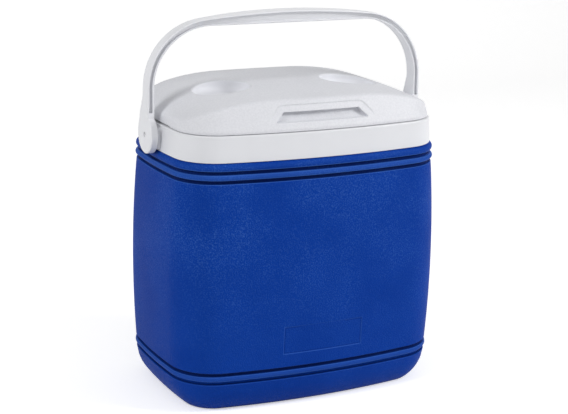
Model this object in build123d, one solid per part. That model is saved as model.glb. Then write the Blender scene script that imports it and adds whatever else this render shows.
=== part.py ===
"""Vaccine carrier: an insulated hard-shell box with a lift-off lid and a swinging bail handle.

Millimetres. The origin is the middle of the base, on the ground. +X is to the right, -Y to the
front, +Z up. Every plan outline of the box is the same bowed rectangle, moved in or out by an offset.
"""
import os

from build123d import *

# ---- the box in plan, where the wall meets the rim collar ----
HALF_WIDTH = 190.0
HALF_DEPTH = 125.0
CORNER_R = 58.0
FRONT_BOW = 10.0
SIDE_BOW = 2.2

# ---- heights ----
WALL_TOP = 341.5
RIM_TOP = 376.4
LID_BOTTOM = 378.0
LID_TOP = 421.5
HANDLE_TOP = 520.5
PIVOT_Z = 362.0

# ---- outer wall: a barrel-shaped skin with two rolled beads at the top and one at the foot ----
WALL_T = 3.0
BARREL_OUT = 9.4
BARREL_Z = 160.0
UPPER_OUT = 3.6
UPPER_Z = 318.0
LOWER_OUT = 5.4
LOWER_Z = 57.0
BEAD_PITCH = 11.8
BEAD_RISE = 1.6
GROOVE_DEPTH = 3.8
GROOVE_HALF_W = 2.6
SKIN_MIN = 1.2
STEP_H = 5.0
FOOT_INSET = 19.0
FOOT_RISE = 30.0
BASE_RECESS = 6.0
BASE_RING = 26.0
CORE_OFFSET = -40.0
PANEL_W = 117.0
PANEL_H = 38.5
PANEL_Z = 96.2
PANEL_ROUND = 4.0
PANEL_DEPTH = 0.8
NECK_OFFSET = -5.0
NECK_TOP = 352.0

# ---- tub and insulation ----
TUB_TOP_OFFSET = -26.0
TUB_FLOOR_OFFSET = -33.0
TUB_FLOOR_Z = 36.0
TUB_T = 2.5
TUB_FLOOR_ROUND = 12.0
FILL_GAP = 0.15
PLUG_R = 12.0
PLUG_HEAD_R = 16.0
PLUG_HEAD_T = 2.0

# ---- rim collar ----
COLLAR_T = 3.0
COLLAR_LEAN = 2.8
COLLAR_ROUND = 2.6
BOSS_HALF_W = 19.5
BOSS_FACE_X = 194.4
BOSS_ROOT_X = 186.6
BOSS_FOOT_Z = 344.0
BOSS_TOP_Z = 374.0
BOSS_ROUND = 3.0

# ---- lid ----
LID_T = 3.0
CROWN_R = 2700.0
CROWN_Y = 45.0
LID_INSET = 4.0
BAND_FOOT = 3.0
BAND_LEAN_Y = 11.0
BAND_LEAN_X = 5.0
BAND_SHIFT_Y = 9.0
CREASE_R = 7.0
CROWN_SWEEP = 8.0
SHOULDER_Z = 384.0
SHOULDER_FLAT = 60.0
CUP_X = 95.5
CUP_R = 38.5
CUP_DEPTH = 14.0
CUP_ROUND = 9.0
GRIP_TOP_Z = 401.7
GRIP_BOTTOM_Z = 389.0
GRIP_HALF_TOP = 56.5
GRIP_HALF_BOTTOM = 67.3
GRIP_BACK_Y = -96.0
GRIP_BACK_H = 5.0
GRIP_SILL_Y = -116.2
PAN_OFFSET = -29.0
PAN_DRAFT = 2.0
PAN_T = 2.5
PAN_BOTTOM = 346.0
SEAL_OFFSET = -13.0
SEAL_W = 6.0
SEAL_SEAT = 1.6
SEAL_CLEAR = 0.35

# ---- handle ----
ARM_X = 203.5
ARM_T = 8.0
GRIP_T = 14.0
BEND_R = 90.0
BEND_Z = 422.0
ARM_HALF_W = 11.5
BEND_HALF_W = 10.0
GRIP_HALF_W = 13.5
RIB_T = 2.5
WEB_HALF_T = 3.5
CHANNEL_FOOT_Z = 390.0
EYE_R = 25.5
EYE_TAPER = 43.0
EYE_FACE_X = 205.7
EYE_BACK_X = ARM_X - ARM_T
EYE_ROUND = 1.8
CHEEK_FACE_X = 205.4
CHEEK_TOP_Z = 408.0
CHEEK_SLOPE_Z = 399.0
PIN_R = 5.0
PIN_SEAT_GAP = 0.02
PIN_END_X = 182.5
PIN_TIP_X = 203.0
EYE_HOLE_R = 1.8
WASHER_R = 12.0
RUN_GAP = 0.05
TIP_GAP = 0.3

# ---- contents ----
PACK_W = 116.0
PACK_H = 250.0
PACK_T = 33.0
PACK_ROUND = 8.0
PACK_DISH = 2.0
STOPPER_R = 10.0
STOPPER_T = 6.0
BIN_W = 239.0
BIN_D = 98.0
BIN_H = 262.0
BIN_SLOTS = 7
BIN_SLOT_PITCH = 16.0
BIN_T = 2.0
PAD_T = 20.0
PAD_PITCH = 36.0
PAD_COLUMNS = 8
PAD_ROWS = 4
PAD_SLIT = 20.0
PAD_SLIT_W = 1.0
FIT = 0.4


def outline(offset, z, pull_x=0.0, pull_y=0.0):
    """Closed wire of the bowed rectangle, moved out by offset and drawn in by pull_x and pull_y."""
    half_x = HALF_WIDTH - CORNER_R - pull_x
    half_y = HALF_DEPTH - CORNER_R - pull_y
    corner = Vector(half_x - SIDE_BOW, FRONT_BOW - half_y)
    round_r = CORNER_R + offset
    front_r = (corner.X**2 + FRONT_BOW**2) / (2 * FRONT_BOW)
    side_r = (corner.Y**2 + SIDE_BOW**2) / (2 * SIDE_BOW)
    front_centre = Vector(0, front_r - half_y)
    front_out = (corner - front_centre).normalized()
    side_out = (corner - Vector(half_x - side_r, 0)).normalized()
    half_out = (front_out + Vector(0, -1)).normalized()
    front_quarter = front_centre + half_out * (front_r + round_r)
    front_end = corner + front_out * round_r
    corner_mid = corner + (front_out + side_out).normalized() * round_r
    side_start = corner + side_out * round_r
    front = Vector(0, -half_y - round_r)
    side = Vector(half_x + round_r, 0)
    arcs = (
        (front, front_quarter, front_end, 1, 1),
        (front_end, corner_mid, side_start, 1, 1),
        (side_start, side, Vector(side_start.X, -side_start.Y), 1, 1),
        (side_start, corner_mid, front_end, 1, -1),
        (front_end, front, Vector(-front_end.X, front_end.Y), 1, -1),
        (front_end, corner_mid, side_start, -1, -1),
        (side_start, side, Vector(side_start.X, -side_start.Y), -1, -1),
        (side_start, corner_mid, front_end, -1, 1),
        (front_end, front_quarter, front, -1, 1),
    )
    edges = []
    for first, middle, last, flip_x, flip_y in arcs:
        points = [(point.X * flip_x, point.Y * flip_y, z) for point in (first, middle, last)]
        edges.append(Edge.make_three_point_arc(*points))
    return Wire(edges)


def plan(offset, z, pull_x=0.0, pull_y=0.0):
    """Filled outline at height z."""
    return make_face(outline(offset, z, pull_x, pull_y).edges())


def prism(offset, z_low, z_high, top_offset=None):
    """Solid between two heights, straight, or drafted when the top has its own offset."""
    if top_offset is None:
        return extrude(plan(offset, z_low), z_high - z_low, dir=(0, 0, 1))
    return loft([plan(offset, z_low), plan(top_offset, z_high)], ruled=True)


def band(outer, inner, z_low, z_high):
    """Straight-walled ring between two offsets."""
    return prism(outer, z_low, z_high) - prism(inner, z_low, z_high)


def path(*points):
    """Edges through (offset, z) points. A point given as a list is the middle of an arc."""
    edges = []
    last = points[0]
    middle = None
    for point in points[1:]:
        if isinstance(point, list):
            middle = tuple(point)
        elif middle:
            edges.append(Edge.make_three_point_arc(last, middle, point))
            last = point
            middle = None
        else:
            edges.append(Edge.make_line(last, point))
            last = point
    return edges


def around(*points):
    """Solid ring: a closed section in (offset, z), carried once round the outline."""
    section_plane = Plane(origin=(0, -HALF_DEPTH, 0), x_dir=(0, -1, 0), z_dir=(-1, 0, 0))
    section = section_plane * make_face(path(*points, points[0]))
    return sweep(section, path=outline(0, 0))


def barrel(proud):
    """Three (offset, z) points of the wall's barrel arc, moved out by proud."""
    low = (LOWER_OUT + proud, LOWER_Z + GROOVE_HALF_W)
    high = (UPPER_OUT + proud, UPPER_Z - GROOVE_HALF_W)
    return low, [BARREL_OUT + proud, BARREL_Z], high


def groove(surface, z):
    """Groove from below to above, a little narrower at its flat root than at its mouth."""
    root = surface - GROOVE_DEPTH
    root_half_w = 0.8 * GROOVE_HALF_W
    low = (surface, z - GROOVE_HALF_W)
    high = (surface, z + GROOVE_HALF_W)
    return low, (root, z - root_half_w), (root, z + root_half_w), high


def disc_x(radius, x_low, x_high):
    """Cylinder along X about the handle pivot, on the right-hand side."""
    return Plane.YZ.offset(x_low) * Pos(0, PIVOT_Z) * extrude(Circle(radius), x_high - x_low)


def left_copy(part):
    return mirror(part, Plane.YZ)


def pair(part):
    """A right-hand solid and its mirror image."""
    return part + left_copy(part)


# ---------------------------------------------------------------- outer wall
def wall_form():
    """The wall's outer form, filled."""
    core = CORE_OFFSET
    foot_mid = [FOOT_INSET * -0.36, FOOT_RISE * 0.4]
    foot_end = (2.2, FOOT_RISE)
    low_bead = LOWER_Z - BEAD_PITCH
    top_bead = UPPER_Z + BEAD_PITCH
    low_surface = LOWER_OUT - 0.8
    bead_top = WALL_TOP - 0.6 * BEAD_RISE
    points = [(core, 0), (-FOOT_INSET, 0), foot_mid, foot_end]
    points += groove(low_surface, low_bead)
    points += [[low_surface + BEAD_RISE, LOWER_Z - BEAD_PITCH / 2], *groove(LOWER_OUT, LOWER_Z)]
    points += barrel(0)[1:2]
    points += groove(UPPER_OUT, UPPER_Z)
    points += [[UPPER_OUT + BEAD_RISE, UPPER_Z + BEAD_PITCH / 2], *groove(UPPER_OUT - 0.8, top_bead)]
    points += [[UPPER_OUT - 0.8 + BEAD_RISE, (top_bead + bead_top) / 2 + 1], (0.6, bead_top)]
    points += [(-1.2, WALL_TOP), (core, WALL_TOP)]
    return around(*points) + prism(core + 5, 0, WALL_TOP)


def hollow_form(clear):
    """The space inside the outer wall, drawn in by clear."""
    core = CORE_OFFSET
    floor_z = BASE_RECESS + WALL_T + clear
    behind = WALL_T + clear
    behind_groove = GROOVE_DEPTH + SKIN_MIN + clear
    step = STEP_H + clear
    low, middle, high = barrel(-behind)
    ring = around(
        (core, floor_z), (-FOOT_INSET - 1.0 - clear, floor_z),
        [-FOOT_INSET * 0.42 - clear, FOOT_RISE * 0.62],
        (LOWER_OUT - behind_groove, LOWER_Z - 2 * BEAD_PITCH),
        (LOWER_OUT - behind_groove, LOWER_Z + step),
        (low[0], LOWER_Z + 2 * step), middle, (high[0], UPPER_Z - 2 * step),
        (UPPER_OUT - behind_groove, UPPER_Z - step), (UPPER_OUT - behind_groove, WALL_TOP - 10),
        (NECK_OFFSET - behind, WALL_TOP - 4), (NECK_OFFSET - behind, NECK_TOP), (core, NECK_TOP),
    )
    return ring + prism(core + 5, floor_z, NECK_TOP)


def make_outer_shell():
    hollow = hollow_form(0)
    shell = wall_form() + prism(NECK_OFFSET, WALL_TOP - 5, NECK_TOP) - hollow
    shell -= prism(-FOOT_INSET - BASE_RING, 0, BASE_RECESS)
    shell -= extrude(Circle(PLUG_R), BASE_RECESS + 2 * WALL_T)
    low, middle, high = barrel(-PANEL_DEPTH)
    panel_back = around((0, LOWER_Z + 5), low, middle, high, (0, UPPER_Z - 5))
    panel_face = Pos(0, PANEL_Z) * RectangleRounded(PANEL_W, PANEL_H, PANEL_ROUND)
    panel = extrude(Plane.XZ.offset(HALF_DEPTH - 1) * panel_face, 3 * BARREL_OUT)
    return shell - (panel - panel_back)


def make_base_plug():
    head = Pos(0, 0, BASE_RECESS - PLUG_HEAD_T) * extrude(Circle(PLUG_HEAD_R), PLUG_HEAD_T)
    stem = Pos(0, 0, BASE_RECESS - PLUG_HEAD_T) * extrude(Circle(PLUG_R), PLUG_HEAD_T + WALL_T)
    return head + stem


# ---------------------------------------------------------------- tub and insulation
def tub_form(grow, floor_z):
    """The tub's drafted hollow, grown outwards, from floor_z to the rim."""
    form = prism(TUB_FLOOR_OFFSET + grow, floor_z, RIM_TOP, TUB_TOP_OFFSET + grow)
    bottom = form.edges().group_by(Axis.Z)[0]
    return fillet(bottom, TUB_FLOOR_ROUND + grow)


def make_inner_liner():
    flange = prism(TUB_TOP_OFFSET + TUB_T + 3.0, RIM_TOP - TUB_T, RIM_TOP)
    return tub_form(TUB_T, TUB_FLOOR_Z - TUB_T) + flange - tub_form(0, TUB_FLOOR_Z)


def make_body_insulation():
    top_z = RIM_TOP - COLLAR_T - FILL_GAP
    space = hollow_form(FILL_GAP) + prism(NECK_OFFSET - WALL_T - FILL_GAP, NECK_TOP - 5, top_z)
    space -= tub_form(TUB_T + FILL_GAP, TUB_FLOOR_Z - TUB_T - FILL_GAP)
    return space - prism(TUB_TOP_OFFSET + TUB_T + 3.0 + FILL_GAP, RIM_TOP - TUB_T - FILL_GAP, RIM_TOP)


# ---------------------------------------------------------------- rim collar
def boss_block():
    """Block that stands out from the collar's right-hand end and holds the pivot pin."""
    middle = Pos((BOSS_ROOT_X + BOSS_FACE_X) / 2, 0, (BOSS_FOOT_Z + BOSS_TOP_Z) / 2)
    block = middle * Box(BOSS_FACE_X - BOSS_ROOT_X, 2 * BOSS_HALF_W, BOSS_TOP_Z - BOSS_FOOT_Z)
    return fillet(block.edges().filter_by(Axis.X), BOSS_ROUND)


def make_rim_collar():
    foot = (0.4, WALL_TOP + 0.2)
    brow = (-COLLAR_LEAN + 0.2, RIM_TOP - COLLAR_ROUND)
    brow_mid = [-COLLAR_LEAN - 0.6, RIM_TOP - 0.3 * COLLAR_ROUND]
    brow_end = (-COLLAR_LEAN - COLLAR_ROUND, RIM_TOP)
    inner = TUB_TOP_OFFSET + TUB_T + 3.0 + FILL_GAP
    collar = around(
        foot, (foot[0] - 0.5, foot[1] + 6), brow, brow_mid, brow_end, (inner, RIM_TOP),
        (inner, RIM_TOP - COLLAR_T), (-COLLAR_LEAN - COLLAR_T, RIM_TOP - COLLAR_T),
        (foot[0] - COLLAR_T, foot[1]),
    )
    bore = disc_x(PIN_R + PIN_SEAT_GAP, BOSS_ROOT_X - 12, BOSS_FACE_X + 1)
    return collar + pair(boss_block()) - pair(bore)


# ---------------------------------------------------------------- lid
def shoulder_section(skin):
    """Cross-section of the lid's top: flat in the middle, an elliptic shoulder down to each side."""
    rise = LID_TOP - SHOULDER_Z - skin
    reach = HALF_WIDTH - LID_INSET - SHOULDER_FLAT - skin
    top_z = SHOULDER_Z + rise
    side_x = SHOULDER_FLAT + reach
    foot_z = LID_BOTTOM - 10
    right_shoulder = EllipticalCenterArc((SHOULDER_FLAT, SHOULDER_Z), reach, rise, 0, arc_size=90)
    left_shoulder = EllipticalCenterArc((-SHOULDER_FLAT, SHOULDER_Z), reach, rise, 90, arc_size=90)
    edges = [
        Edge.make_line((-side_x, foot_z), (side_x, foot_z)),
        Edge.make_line((side_x, foot_z), (side_x, SHOULDER_Z)),
        right_shoulder.edge(),
        Edge.make_line((SHOULDER_FLAT, top_z), (-SHOULDER_FLAT, top_z)),
        left_shoulder.edge(),
        Edge.make_line((-side_x, SHOULDER_Z), (-side_x, foot_z)),
    ]
    return Plane.XZ * make_face(edges)


def lid_form(skin):
    """The lid's outer form without its cups or grip, drawn in by skin on every side."""
    lean_z = LID_BOTTOM + BAND_FOOT
    inset = -LID_INSET - skin
    sides = prism(inset, LID_BOTTOM, lean_z)
    top = Pos(0, BAND_SHIFT_Y, 0) * plan(inset, LID_TOP + 5, BAND_LEAN_X, BAND_LEAN_Y)
    sides += loft([plan(inset, lean_z), top], ruled=True)
    crown_axis = Axis((0, CROWN_Y, LID_TOP - CROWN_R), (1, 0, 0))
    start = (Pos(0, CROWN_Y, 0) * shoulder_section(skin)).rotate(crown_axis, -CROWN_SWEEP / 2)
    crown = revolve(start, crown_axis, CROWN_SWEEP)
    form = sides & crown
    top_faces = [face for face in form.faces() if face.center().Z > SHOULDER_Z + 24]
    side_edges = form.faces().filter_by(GeomType.BSPLINE).edges()
    crease = [edge for face in top_faces for edge in face.edges() if edge in side_edges]
    return fillet(crease, CREASE_R - skin)


def cup(skin):
    """One cup recess, grown by skin, as a solid of revolution."""
    depth = CUP_DEPTH + skin
    radius = CUP_R + skin
    floor_z = LID_TOP - 2.0 - depth
    bowl = Pos(CUP_X, 0, floor_z) * extrude(Circle(radius), depth + 10)
    return fillet(bowl.edges().group_by(Axis.Z)[0], CUP_ROUND + skin)


def grip_pocket(skin):
    """Finger pocket in the front band: deep under its top edge, running out at its bottom edge."""
    top_z = GRIP_TOP_Z + skin
    bottom_z = GRIP_BOTTOM_Z - skin
    back_y = GRIP_BACK_Y + skin
    front_y = -HALF_DEPTH - 5
    corner_z = GRIP_TOP_Z - GRIP_BACK_H - 0.7 * skin
    side = Polygon(
        (front_y, bottom_z), (GRIP_SILL_Y, bottom_z), (back_y, corner_z), (back_y, top_z), (front_y, top_z),
        align=None,
    )
    half = GRIP_HALF_BOTTOM + skin
    wedge = extrude(Plane.YZ * side, half, both=True)
    face = Polygon(
        (-half, bottom_z), (half, bottom_z), (GRIP_HALF_TOP + skin, top_z), (-GRIP_HALF_TOP - skin, top_z),
        align=None,
    )
    return wedge & extrude(Plane.XZ * face, 2 * HALF_DEPTH)


def make_lid_shell():
    hollow = lid_form(LID_T) & prism(-LID_INSET - LID_T, LID_BOTTOM, LID_TOP)
    hollow -= pair(cup(LID_T)) + grip_pocket(LID_T)
    return lid_form(0) - hollow - pair(cup(0)) - grip_pocket(0)


def make_lid_insulation():
    gap = LID_T + FILL_GAP
    fill = lid_form(gap) - prism(0, LID_BOTTOM - 20, LID_BOTTOM + PAN_T + FILL_GAP)
    fill -= pair(cup(gap)) + grip_pocket(gap)
    inside = PAN_OFFSET - PAN_T - FILL_GAP
    shelf_z = PAN_BOTTOM + PAD_T + PAN_T
    return fill + prism(inside - PAN_DRAFT, shelf_z + FILL_GAP, LID_BOTTOM + PAN_T + 1, inside)


def make_lid_pan():
    flange = prism(-LID_INSET - LID_T - FILL_GAP, LID_BOTTOM, LID_BOTTOM + PAN_T)
    plug = prism(PAN_OFFSET - PAN_DRAFT, PAN_BOTTOM, LID_BOTTOM, PAN_OFFSET)
    inside = PAN_OFFSET - PAN_T
    shelf_z = PAN_BOTTOM + PAD_T
    pan = flange + fillet(plug.edges().group_by(Axis.Z)[0], 3.0)
    pan -= prism(inside - PAN_DRAFT, shelf_z + PAN_T, LID_BOTTOM + PAN_T, inside)
    pan -= prism(inside - PAN_DRAFT, PAN_BOTTOM, shelf_z)
    return pan - band(SEAL_OFFSET, SEAL_OFFSET - SEAL_W, LID_BOTTOM, LID_BOTTOM + SEAL_SEAT)


def make_lid_gasket():
    low_z = RIM_TOP + SEAL_CLEAR
    inner = SEAL_OFFSET - SEAL_W
    seat = band(SEAL_OFFSET - FILL_GAP, inner + FILL_GAP, LID_BOTTOM - 0.2, LID_BOTTOM + SEAL_SEAT)
    lip = band(SEAL_OFFSET - 1.2, inner + 1.2, low_z, LID_BOTTOM)
    return seat + lip


def make_vial_pad():
    """Soft foam pad with crossed slits, each of which grips one vial."""
    inside = PAN_OFFSET - PAN_T - PAN_DRAFT - FILL_GAP
    pad = prism(inside, PAN_BOTTOM + 0.5, PAN_BOTTOM + PAD_T - FILL_GAP)
    slit = Box(PAD_SLIT, PAD_SLIT_W, PAD_T) + Box(PAD_SLIT_W, PAD_SLIT, PAD_T)
    for place in GridLocations(PAD_PITCH, PAD_PITCH, PAD_COLUMNS, PAD_ROWS):
        pad -= Pos(0, 0, PAN_BOTTOM + 0.2 * PAD_T) * place * slit
    return pad


# ---------------------------------------------------------------- handle
def bail_curve(inset, thicker):
    """One edge line of the bail seen from the front: right bend, bowed top, left bend."""
    arm_x = ARM_X - inset
    bend_r = BEND_R - inset
    bend_centre = Vector(ARM_X - BEND_R, BEND_Z)
    top_z = HANDLE_TOP - inset - thicker
    rise = top_z - BEND_Z
    bow_r = (bend_centre.X**2 + rise**2 - bend_r**2) / (2 * (rise - bend_r))
    toward = (bend_centre - Vector(0, top_z - bow_r)).normalized()
    meet = bend_centre + toward * bend_r
    middle = bend_centre + (toward + Vector(1, 0)).normalized() * bend_r
    return [
        Edge.make_three_point_arc((arm_x, BEND_Z), middle, meet),
        Edge.make_three_point_arc(meet, (0, top_z), (-meet.X, meet.Y)),
        Edge.make_three_point_arc((-meet.X, meet.Y), (-middle.X, middle.Y), (-arm_x, BEND_Z)),
    ]


def bail_band(outer_inset, inner_inset, foot_z):
    """Face between two bail curves, with straight arms down to foot_z."""
    outer_x = ARM_X - outer_inset
    inner_x = ARM_X - inner_inset
    thicker = (GRIP_T - ARM_T) * (inner_inset - outer_inset) / ARM_T
    edges = bail_curve(outer_inset, 0) + bail_curve(inner_inset, thicker)
    for side in (1, -1):
        edges.append(Edge.make_line((side * outer_x, BEND_Z), (side * outer_x, foot_z)))
        edges.append(Edge.make_line((side * outer_x, foot_z), (side * inner_x, foot_z)))
        edges.append(Edge.make_line((side * inner_x, foot_z), (side * inner_x, BEND_Z)))
    return Plane.XZ * make_face(edges)


def cheek_side():
    """The bail's foot seen from the side: the round eye, tapering into the arm at the back only."""
    tapered = make_hull([*Circle(EYE_R).edges(), *(Pos(0, EYE_TAPER) * Circle(ARM_HALF_W)).edges()])
    front = Pos(-EYE_R, 0) * Rectangle(2 * EYE_R, 4 * EYE_TAPER)
    arm = Pos(0, EYE_TAPER / 2) * Rectangle(2 * ARM_HALF_W, EYE_TAPER)
    return Pos(0, PIVOT_Z) * (tapered - front + Circle(EYE_R) + arm)


def bail_side():
    """The bail seen from the side: its foot, a slim arm, and a wider grip on top."""
    slim_low = BEND_Z + 50
    slim_high = BEND_Z + 72
    wide_z = BEND_Z + 84
    right = [
        (ARM_HALF_W, PIVOT_Z + EYE_TAPER), (BEND_HALF_W, slim_low), (BEND_HALF_W, slim_high),
        (GRIP_HALF_W, wide_z), (GRIP_HALF_W, HANDLE_TOP + 5),
    ]
    left = [(-half_w, z) for half_w, z in reversed(right)]
    return Plane.YZ * (cheek_side() + Polygon(*right, *left, align=None))


def bail_top():
    """The bail seen from above: wide grip, slim bends, and room for the eyes."""
    right = [
        (60, GRIP_HALF_W), (150, BEND_HALF_W), (186, BEND_HALF_W),
        (191, EYE_R + 1), (ARM_X + 5, EYE_R + 1),
    ]
    corners = [(x, -y) for x, y in reversed(right)]
    left = [(-x, -y) for x, y in right] + [(-x, y) for x, y in reversed(right)]
    face = Polygon(*right, *corners, *left, align=None)
    soft = [corner for corner in face.vertices() if abs(corner.X) in (60, 150)]
    return fillet(soft, 160)


def cheek():
    """Slab that carries the eye's thickness up the foot of the right arm, fading into its face."""
    face = Polygon(
        (EYE_BACK_X, PIVOT_Z), (CHEEK_FACE_X, PIVOT_Z), (CHEEK_FACE_X, CHEEK_SLOPE_Z),
        (ARM_X, CHEEK_TOP_Z), (ARM_X - 0.5, CHEEK_TOP_Z), (ARM_X - 0.5, CHANNEL_FOOT_Z),
        (EYE_BACK_X, CHANNEL_FOOT_Z),
        align=None,
    )
    return extrude(Plane.XZ * face, 2 * EYE_R, both=True) & extrude(Plane.YZ * cheek_side(), ARM_X + EYE_R)


def make_handle():
    bail = extrude(bail_band(0, ARM_T, PIVOT_Z), GRIP_HALF_W + EYE_R, both=True)
    bail &= extrude(bail_side(), ARM_X + 1, both=True)
    bail &= Pos(0, 0, PIVOT_Z) * extrude(bail_top(), HANDLE_TOP, dir=(0, 0, 1))
    channel = extrude(bail_band(RIB_T, ARM_T - RIB_T, CHANNEL_FOOT_Z), EYE_R + GRIP_HALF_W, both=True)
    web = Box(2 * ARM_X + 2, 2 * WEB_HALF_T, 2 * HANDLE_TOP)
    bail -= channel - web
    eye = disc_x(EYE_R, EYE_BACK_X, EYE_FACE_X)
    eye = fillet(eye.edges().group_by(Axis.X)[-1], EYE_ROUND)
    bail += pair(eye + cheek())
    bail -= pair(disc_x(PIN_R + RUN_GAP, EYE_BACK_X - 1, PIN_TIP_X + TIP_GAP))
    return bail - pair(disc_x(EYE_HOLE_R, PIN_TIP_X, EYE_FACE_X + 1))


def make_pivot_pin():
    """Stub pressed into the collar boss, over whose tip the handle's eye snaps."""
    return disc_x(PIN_R, PIN_END_X, PIN_TIP_X)


def make_pivot_washer():
    low_x = BOSS_FACE_X + RUN_GAP
    high_x = EYE_BACK_X - RUN_GAP
    return disc_x(WASHER_R, low_x, high_x) - disc_x(PIN_R + RUN_GAP, low_x - 1, high_x + 1)


# ---------------------------------------------------------------- contents
def make_ice_pack():
    """One sealed ice pack, standing upright, its broad faces towards front and back."""
    brick = Pos(0, 0, PACK_H / 2) * Box(PACK_W, PACK_T, PACK_H)
    brick = fillet(brick.edges(), PACK_ROUND)
    dish = Pos(0, 0, PACK_H / 2) * Box(PACK_W - 4 * PACK_ROUND, PACK_T + 2, PACK_H - 5 * PACK_ROUND)
    core = Pos(0, 0, PACK_H / 2) * Box(PACK_W, PACK_T - 2 * PACK_DISH, PACK_H)
    well = Pos(PACK_W / 4, 0, PACK_H - STOPPER_T) * extrude(Circle(STOPPER_R + RUN_GAP), STOPPER_T + 1)
    return brick - (dish - core) - well


def make_stopper():
    """Welded filler stopper, flush with the top of its pack."""
    stopper = Pos(PACK_W / 4, 0, PACK_H - STOPPER_T) * extrude(Circle(STOPPER_R), STOPPER_T)
    slot = Pos(PACK_W / 4, 0, PACK_H) * Box(1.4 * STOPPER_R, 2.0, 2.0)
    return stopper - slot


def make_vaccine_bin():
    height = BIN_H
    outer = Pos(0, 0, height / 2) * Box(BIN_W, BIN_D, height)
    outer = fillet(outer.edges().filter_by(Axis.Z), PACK_ROUND)
    inner = Pos(0, 0, height / 2 + BIN_T) * Box(BIN_W - 2 * BIN_T, BIN_D - 2 * BIN_T, height)
    inner = fillet(inner.edges().filter_by(Axis.Z), PACK_ROUND - BIN_T)
    bin_box = outer - inner
    slots = GridLocations(2 * BIN_SLOT_PITCH, 1, BIN_SLOTS, 1)
    for place in slots:
        bin_box -= place * Box(BIN_SLOT_PITCH, 3.0, 3 * BIN_T)
    return Pos(0, 0, TUB_FLOOR_Z + FIT) * bin_box


def pack_places():
    """Name and place of each pack: two along the front, two along the back, one at each end."""
    floor_z = TUB_FLOOR_Z + FIT
    side_x = BIN_W / 2 + FIT + PACK_T / 2
    front_y = BIN_D / 2 + FIT + PACK_T / 2
    half = (PACK_W + FIT) / 2
    return {
        "front_left": Pos(-half, -front_y, floor_z),
        "front_right": Pos(half, -front_y, floor_z),
        "back_left": Pos(-half, front_y, floor_z),
        "back_right": Pos(half, front_y, floor_z),
        "left": Pos(-side_x, 0, floor_z) * Rot(0, 0, 90),
        "right": Pos(side_x, 0, floor_z) * Rot(0, 0, 90),
    }


def make_parts():
    parts = {
        "outer_shell": make_outer_shell(),
        "base_plug": make_base_plug(),
        "body_insulation": make_body_insulation(),
        "inner_liner": make_inner_liner(),
        "rim_collar": make_rim_collar(),
        "pivot_pin_right": make_pivot_pin(),
        "pivot_washer_right": make_pivot_washer(),
        "lid_shell": make_lid_shell(),
        "lid_insulation": make_lid_insulation(),
        "lid_pan": make_lid_pan(),
        "lid_gasket": make_lid_gasket(),
        "vial_pad": make_vial_pad(),
        "handle": make_handle(),
        "vaccine_bin": make_vaccine_bin(),
    }
    for name in ("pivot_pin", "pivot_washer"):
        parts[name + "_left"] = left_copy(parts[name + "_right"])
    for name, place in pack_places().items():
        parts["ice_pack_" + name] = place * make_ice_pack()
        parts["pack_stopper_" + name] = place * make_stopper()
    return parts


os.makedirs("parts", exist_ok=True)
for node, solid in make_parts().items():
    export_step(solid, f"parts/{node}.step")
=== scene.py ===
"""Vaccine carrier dressed for looks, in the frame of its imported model. Metres, +Z up, -Y to the front."""
import math

import bmesh
import bpy
from mathutils import Matrix, Vector
from mathutils.geometry import delaunay_2d_cdt


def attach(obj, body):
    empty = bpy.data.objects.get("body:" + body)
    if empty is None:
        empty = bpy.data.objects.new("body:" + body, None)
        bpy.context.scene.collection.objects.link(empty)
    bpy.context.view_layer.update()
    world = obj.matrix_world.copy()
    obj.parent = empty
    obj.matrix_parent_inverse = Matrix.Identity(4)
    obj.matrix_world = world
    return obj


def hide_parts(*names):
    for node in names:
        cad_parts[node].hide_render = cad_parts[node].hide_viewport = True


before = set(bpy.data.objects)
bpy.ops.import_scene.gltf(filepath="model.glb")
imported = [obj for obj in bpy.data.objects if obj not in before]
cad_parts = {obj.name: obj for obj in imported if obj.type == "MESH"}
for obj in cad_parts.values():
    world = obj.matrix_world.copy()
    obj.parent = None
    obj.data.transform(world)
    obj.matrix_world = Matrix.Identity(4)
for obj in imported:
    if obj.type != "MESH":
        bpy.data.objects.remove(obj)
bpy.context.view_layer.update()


# ---------------------------------------------------------------- outer wall
# The blue barrel-shaped wall: one thin skin of polypropylene with two deep rolled grooves at the top
# and two at the foot, injection moulded with a leathery grain and a shallow bare panel on its front.
# Its rolled-in neck holds the rim collar.
def linear(code):
    """Linear colour of an sRGB hex code."""
    channels = [int(code[place:place + 2], 16) / 255 for place in (0, 2, 4)]
    return (*[c / 12.92 if c <= 0.04045 else ((c + 0.055) / 1.055) ** 2.4 for c in channels], 1)


def add(tree, kind, inputs=(), **settings):
    """Adds one node. Each input is a value, or the socket of another node to link from."""
    node = tree.nodes.new("ShaderNode" + kind)
    for name, value in settings.items():
        setattr(node, name, value)
    for name, value in dict(inputs).items():
        if isinstance(value, bpy.types.NodeSocket):
            tree.links.new(value, node.inputs[name])
        else:
            node.inputs[name].default_value = value
    return node


def new_tree(name):
    """An empty node material and its tree."""
    material = bpy.data.materials.new(name)
    material.use_nodes = True
    material.node_tree.nodes.clear()
    return material, material.node_tree


FRONT_BOW = 10.0
SIDE_BOW = 2.2
CORNER_R = 58.0
HALF_X = 190.0 - CORNER_R
HALF_Y = 125.0 - CORNER_R
PANEL_HALF_W = 58.5
PANEL_HALF_H = 19.25
PANEL_Z = 96.2
PANEL_ROUND = 4.0
PANEL_DEPTH = 0.8
PANEL_FADE = 14.0
RIM_SOFT = 1.1
FRONT_STEPS = [8.2 * step for step in range(17)]
PANEL_STEPS = [0, 8, 16, 24, 32, 40, 47, 51, 53, 54.5, 55.5, 56.4, 57.1, 57.6, 58, 58.4, 58.8, 59.2, 59.8,
               61, 63, 66, 71, 78, 86, 95, 104, 113, 122, 131]
CORNER_STEPS = 22
SIDE_STEPS = 9


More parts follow.
